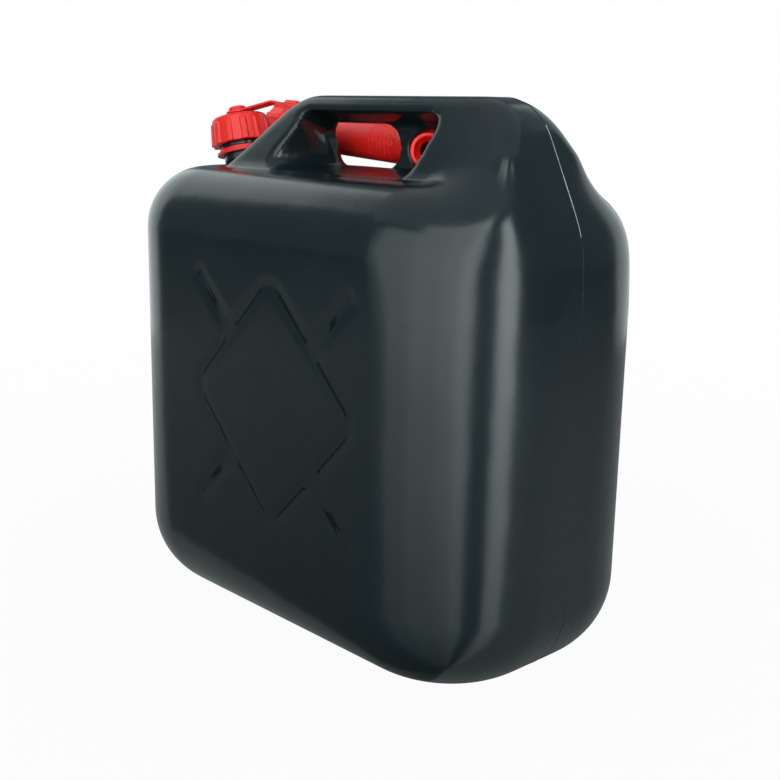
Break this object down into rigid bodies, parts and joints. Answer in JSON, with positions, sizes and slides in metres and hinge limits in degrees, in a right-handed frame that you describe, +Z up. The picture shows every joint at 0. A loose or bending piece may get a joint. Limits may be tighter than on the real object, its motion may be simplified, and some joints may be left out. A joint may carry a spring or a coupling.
{
  "type": "fuel can",
  "caption": "Blow-moulded jerry can for fuel with a bridge handle, ribbed screw cap on a leaning neck with a strap, and a flexible pouring spout stowed behind the handle.",
  "frame": {"origin": "middle of the can's flat base, on the surface it stands on", "axes": "+Z up, +X along the can towards its end with the tall handle block, -Y towards the embossed front face"},
  "size_m": [0.376, 0.212, 0.3775],
  "materials": {
    "body": "satin blow-moulded polyethylene, near black",
    "red": "half-gloss injection-moulded polyethylene, signal red",
    "seal": "matt black rubber"
  },
  "bodies": {
    "can": {"can_body": "body", "spout_tube": "red", "spout_seal": "seal"},
    "tether": {"tether_strap": "red"},
    "cap": {"screw_cap": "red", "cap_seal": "seal"},
    "nut": {"spout_nut": "red"}
  },
  "joints": [
    {"name": "cap_rise", "type": "slide", "parent": "can", "child": "tether", "axis": [-0.2588, 0, 0.9659], "range_m": [0, 0.012], "deforming": ["tether_strap"]},
    {"name": "cap_turn", "type": "hinge", "parent": "tether", "child": "cap", "pos_m": [-0.15, 0, 0.325], "axis": [-0.2588, 0, 0.9659], "range_deg": [0, 720]},
    {"name": "nut_turn", "type": "hinge", "parent": "can", "child": "nut", "pos_m": [-0.163, 0.0505, 0.352], "axis": [0.9945, -0.0902, -0.0533], "continuous": true}
  ],
  "couplings": [
    {"joint": "cap_rise", "follows": "cap_turn", "m_per_rad": 0.00095493}
  ]
}
